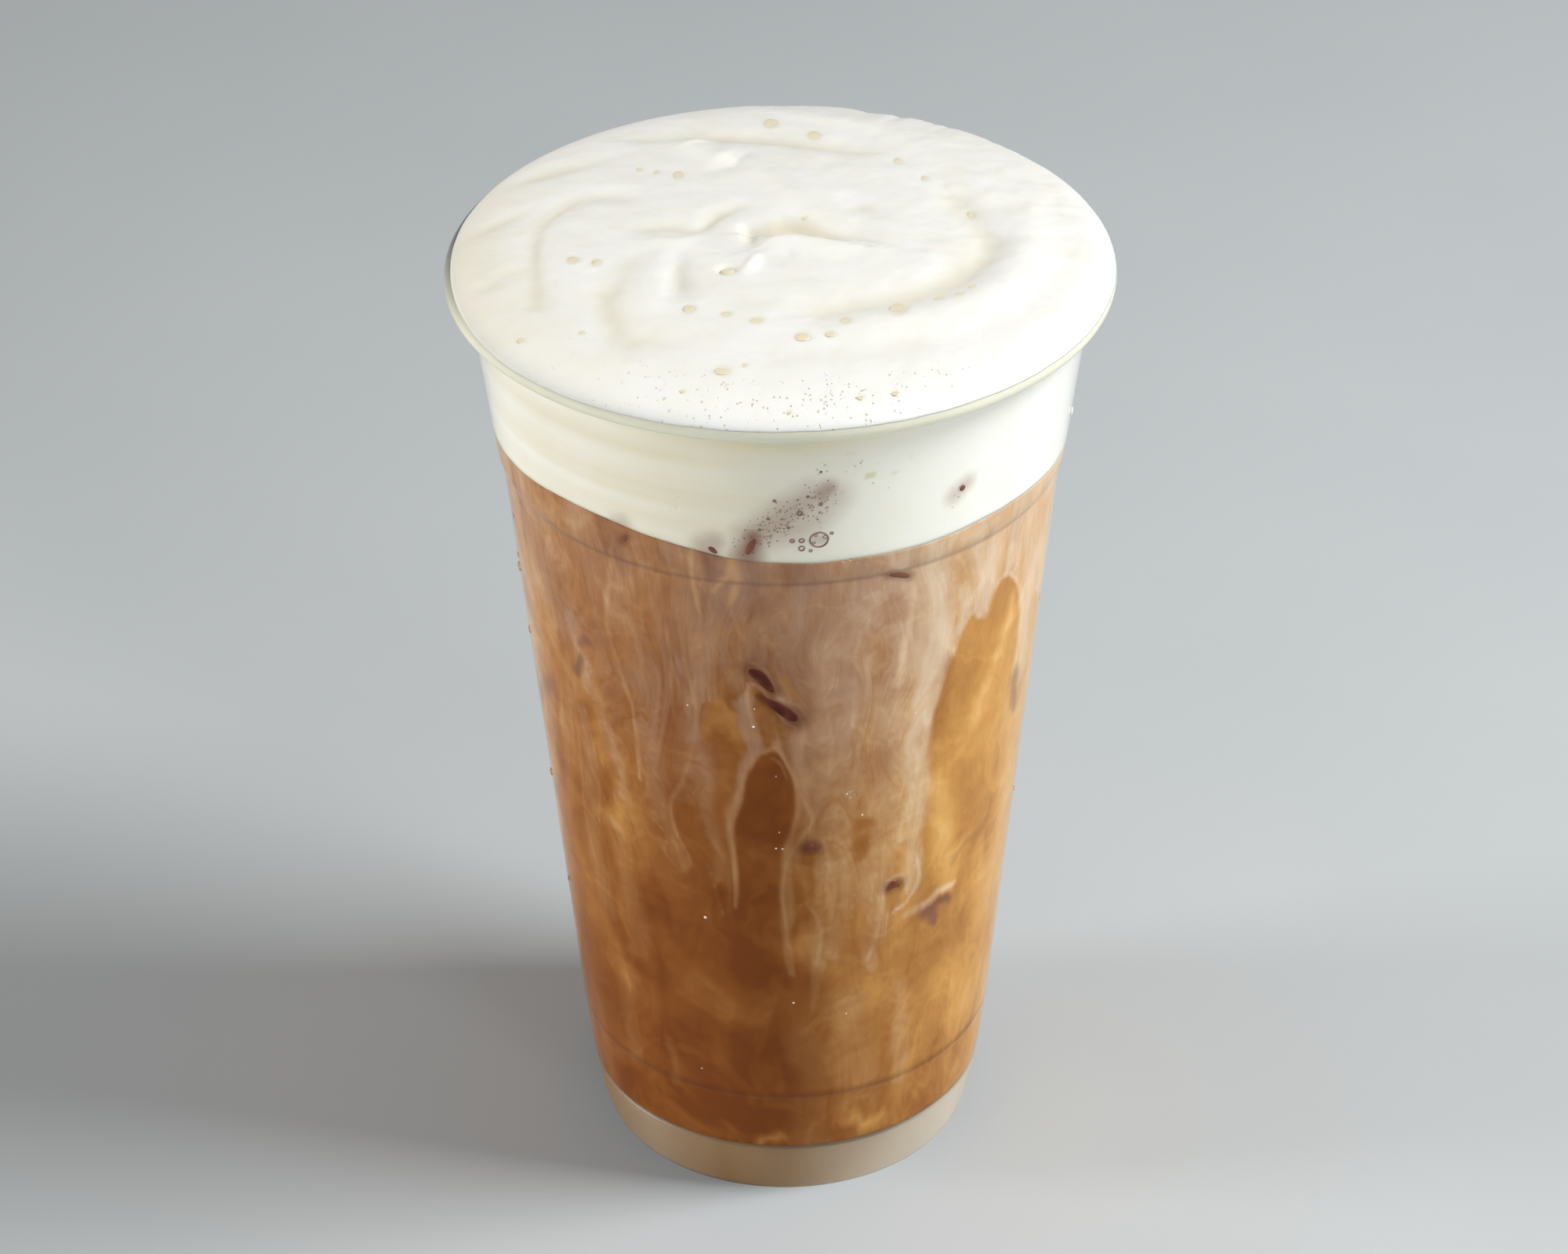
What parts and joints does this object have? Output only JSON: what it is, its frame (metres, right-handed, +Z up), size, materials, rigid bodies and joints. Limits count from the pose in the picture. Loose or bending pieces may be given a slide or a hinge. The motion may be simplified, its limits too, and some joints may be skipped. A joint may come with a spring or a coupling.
{
  "type": "iced latte in a clear tumbler",
  "caption": "Tall clear plastic tumbler of iced latte with creamy marbling, capped with thick cold milk foam that mounds over the rolled rim.",
  "frame": {"origin": "centre of the ring that the cup stands on, at table height", "axes": "+Z up along the cup's axis; the side that the picture shows faces -Y, and +X is to its right"},
  "size_m": [0.098, 0.098, 0.157],
  "materials": {
    "clear_plastic": "clear, smooth and glossy, slightly milky at the foot",
    "coffee": "wet, amber coffee marbled with milk",
    "milk_foam": "soft satin foam"
  },
  "bodies": {
    "root": {"cup": "clear_plastic", "drink": "coffee", "foam": "milk_foam"}
  },
  "joints": []
}
